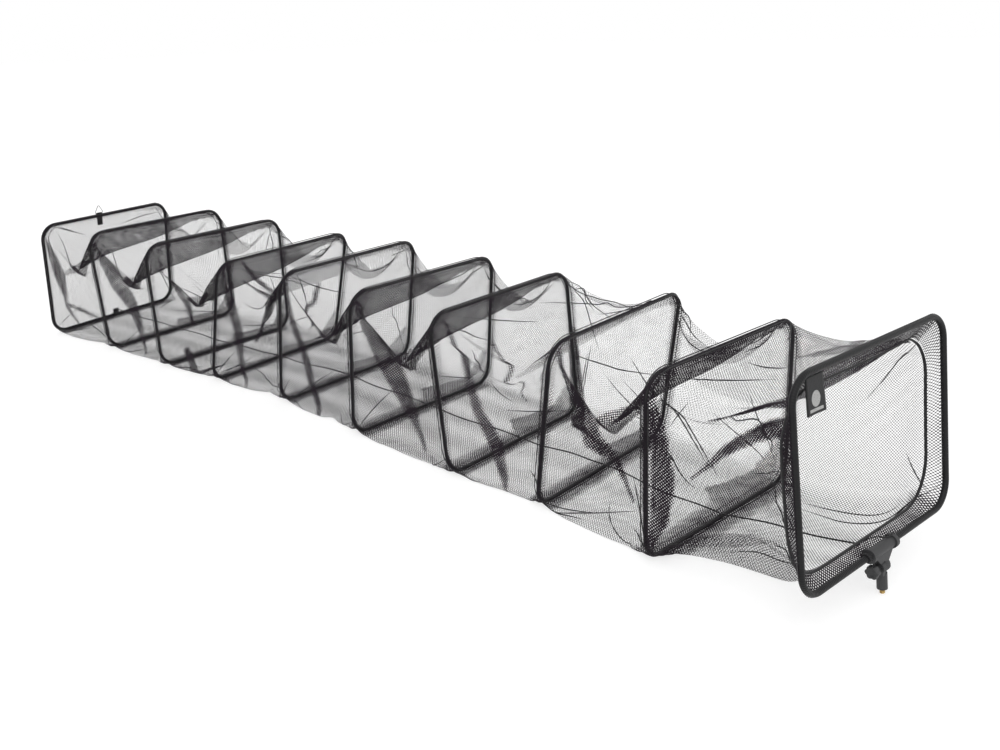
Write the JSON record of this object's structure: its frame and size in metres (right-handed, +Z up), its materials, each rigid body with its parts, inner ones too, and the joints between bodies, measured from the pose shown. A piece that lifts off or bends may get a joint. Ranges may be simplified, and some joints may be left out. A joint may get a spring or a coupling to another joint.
{
  "type": "keep net",
  "caption": "Long fishing keep net: rounded rectangular hoops carry a fine net tube with a base draw cord and an angle-locking bank-stick adaptor.",
  "frame": {"origin": "on the ground, under the middle of the stretched net's bounding box", "axes": "+X along the net towards its mouth, +Y to the left when looking along +X, +Z up"},
  "size_m": [2.8414, 0.6176, 0.4597],
  "materials": {
    "hoop_tube": "black plastic-covered tube, semi-gloss",
    "netting": "fine black knotless netting",
    "cord": "thin black braided cord",
    "webbing": "black woven tape",
    "moulding": "dark grey moulded plastic, satin",
    "stud_brass": "turned brass, thread cut",
    "bolt_steel": "plain steel",
    "ring_wire": "bent steel wire"
  },
  "bodies": {
    "mouth": {"mouth_hoop": "hoop_tube", "mouth_band": "netting", "mouth_hem": "cord", "tee_sleeve": "moulding", "pivot_nut": "moulding", "label_tab": "webbing", "left_tie": "cord", "right_tie": "cord", "mouth_knot": "cord"},
    "bay_1": {"net_bay_1": "netting", "base_cord_1": "cord"},
    "bay_2": {"net_bay_2": "netting", "base_cord_2": "cord"},
    "bay_3": {"net_bay_3": "netting", "base_cord_3": "cord", "cord_hitch_3": "cord"},
    "bay_4": {"net_bay_4": "netting", "base_cord_4": "cord"},
    "bay_5": {"net_bay_5": "netting", "base_cord_5": "cord"},
    "bay_6": {"net_bay_6": "netting", "base_cord_6": "cord"},
    "bay_7": {"net_bay_7": "netting", "base_cord_7": "cord"},
    "bay_8": {"net_bay_8": "netting", "base_cord_8": "cord"},
    "bay_9": {"net_bay_9": "netting", "base_cord_9": "cord"},
    "hoop_1": {"hoop_1": "hoop_tube"},
    "hoop_2": {"hoop_2": "hoop_tube"},
    "hoop_3": {"hoop_3": "hoop_tube"},
    "hoop_4": {"hoop_4": "hoop_tube"},
    "hoop_5": {"hoop_5": "hoop_tube"},
    "hoop_6": {"hoop_6": "hoop_tube"},
    "hoop_7": {"hoop_7": "hoop_tube"},
    "hoop_8": {"hoop_8": "hoop_tube"},
    "tail": {"tail_hoop": "hoop_tube", "tail_net": "netting", "top_tab": "webbing", "bottom_tab": "webbing"},
    "barrel": {"barrel": "moulding", "threaded_stud": "stud_brass"},
    "knob": {"star_knob": "moulding", "pivot_bolt": "bolt_steel"},
    "ring": {"tail_ring": "ring_wire"}
  },
  "joints": [
    {"name": "gather_1", "type": "slide", "parent": "mouth", "child": "bay_1", "axis": [0.9855, -0.1694, 0], "range_m": [0, 0.33026], "deforming": ["mouth_band", "mouth_hem", "net_bay_1", "base_cord_1"]},
    {"name": "gather_2", "type": "slide", "parent": "bay_1", "child": "bay_2", "axis": [0.9927, -0.1206, 0], "range_m": [0, 0.31356], "deforming": ["net_bay_2", "base_cord_2"]},
    {"name": "gather_3", "type": "slide", "parent": "bay_2", "child": "bay_3", "axis": [0.9992, 0.0391, 0], "range_m": [0, 0.23921], "deforming": ["net_bay_3", "base_cord_3"]},
    {"name": "gather_4", "type": "slide", "parent": "bay_3", "child": "bay_4", "axis": [0.9991, -0.0429, 0], "range_m": [0, 0.33086], "deforming": ["net_bay_4", "base_cord_4"]},
    {"name": "gather_5", "type": "slide", "parent": "bay_4", "child": "bay_5", "axis": [0.9984, -0.0572, 0], "range_m": [0, 0.33112], "deforming": ["net_bay_5", "base_cord_5"]},
    {"name": "gather_6", "type": "slide", "parent": "bay_5", "child": "bay_6", "axis": [0.9969, 0.0784, 0], "range_m": [0, 0.30083], "deforming": ["net_bay_6", "base_cord_6"]},
    {"name": "gather_7", "type": "slide", "parent": "bay_6", "child": "bay_7", "axis": [0.9944, 0.1055, 0], "range_m": [0, 0.22077], "deforming": ["net_bay_7", "base_cord_7"]},
    {"name": "gather_8", "type": "slide", "parent": "bay_7", "child": "bay_8", "axis": [0.9988, 0.0489, 0], "range_m": [0, 0.28922], "deforming": ["net_bay_8", "base_cord_8"]},
    {"name": "gather_9", "type": "slide", "parent": "bay_8", "child": "bay_9", "axis": [0.9934, 0.1148, 0], "range_m": [0, 0.32685], "deforming": ["net_bay_9", "base_cord_9"]},
    {"name": "tip_1", "type": "hinge", "parent": "bay_1", "child": "hoop_1", "pos_m": [1.04431, -0.00374, 0.00425], "axis": [-0.1172, -0.9545, -0.2744], "range_deg": [0, 7.28]},
    {"name": "tip_2", "type": "hinge", "parent": "bay_2", "child": "hoop_2", "pos_m": [0.72299, 0.0353, 0.00425], "axis": [-0.0616, -0.8815, -0.4682], "range_deg": [0, 16.99]},
    {"name": "tip_3", "type": "hinge", "parent": "bay_3", "child": "hoop_3", "pos_m": [0.47369, 0.02554, 0.00425], "axis": [-0.0245, -0.3506, -0.9362], "range_deg": [0, 8.54]},
    {"name": "tip_4", "type": "hinge", "parent": "bay_4", "child": "hoop_4", "pos_m": [0.13298, 0.04018, 0.00425], "axis": [-0.0802, -0.9164, -0.3921], "range_deg": [0, 15.23]},
    {"name": "tip_5", "type": "hinge", "parent": "bay_5", "child": "hoop_5", "pos_m": [-0.20773, 0.0597, 0.00425], "axis": [-0.0547, -0.8944, -0.4439], "range_deg": [0, 20.11]},
    {"name": "tip_6", "type": "hinge", "parent": "bay_6", "child": "hoop_6", "pos_m": [-0.51797, 0.0353, 0.00425], "axis": [-0.0313, -0.8968, -0.4413], "range_deg": [0, 26.79]},
    {"name": "tip_7", "type": "hinge", "parent": "bay_7", "child": "hoop_7", "pos_m": [-0.74788, 0.0109, 0.00425], "axis": [-0.0371, -0.7075, -0.7058], "range_deg": [0, 14.13]},
    {"name": "tip_8", "type": "hinge", "parent": "bay_8", "child": "hoop_8", "pos_m": [-1.04704, -0.00374, 0.00425], "axis": [-0.0235, -0.5374, -0.843], "range_deg": [0, 13.03]},
    {"name": "tip_9", "type": "hinge", "parent": "bay_9", "child": "tail", "pos_m": [-1.38498, -0.04278, 0.0055], "axis": [0, -0.7106, -0.7036], "range_deg": [0, 22.59]},
    {"name": "barrel_tilt", "type": "hinge", "parent": "mouth", "child": "barrel", "pos_m": [1.39029, -0.06304, 0.05277], "axis": [0.1392, 0.9903, 0], "range_deg": [-90, 90]},
    {"name": "knob_turn", "type": "hinge", "parent": "barrel", "child": "knob", "pos_m": [1.39029, -0.06304, 0.05277], "axis": [0.1392, 0.9903, 0], "range_deg": [0, 360]},
    {"name": "ring_swing", "type": "hinge", "parent": "tail", "child": "ring", "pos_m": [-1.33531, -0.06307, 0.38306], "axis": [-0.1392, 0.9903, 0], "range_deg": [-90, 90]}
  ],
  "couplings": [
    {"joint": "gather_2", "follows": "gather_1", "ratio": 0.94943},
    {"joint": "gather_3", "follows": "gather_1", "ratio": 0.72429},
    {"joint": "gather_4", "follows": "gather_1", "ratio": 1.0018},
    {"joint": "gather_5", "follows": "gather_1", "ratio": 1.0026},
    {"joint": "gather_6", "follows": "gather_1", "ratio": 0.91088},
    {"joint": "gather_7", "follows": "gather_1", "ratio": 0.66846},
    {"joint": "gather_8", "follows": "gather_1", "ratio": 0.87571},
    {"joint": "gather_9", "follows": "gather_1", "ratio": 0.98967},
    {"joint": "tip_1", "follows": "gather_1", "rad_per_m": 0.38471},
    {"joint": "tip_2", "follows": "gather_1", "rad_per_m": 0.89783},
    {"joint": "tip_3", "follows": "gather_1", "rad_per_m": 0.45148},
    {"joint": "tip_4", "follows": "gather_1", "rad_per_m": 0.80463},
    {"joint": "tip_5", "follows": "gather_1", "rad_per_m": 1.0627},
    {"joint": "tip_6", "follows": "gather_1", "rad_per_m": 1.416},
    {"joint": "tip_7", "follows": "gather_1", "rad_per_m": 0.7469},
    {"joint": "tip_8", "follows": "gather_1", "rad_per_m": 0.68873},
    {"joint": "tip_9", "follows": "gather_1", "rad_per_m": 1.1938}
  ]
}
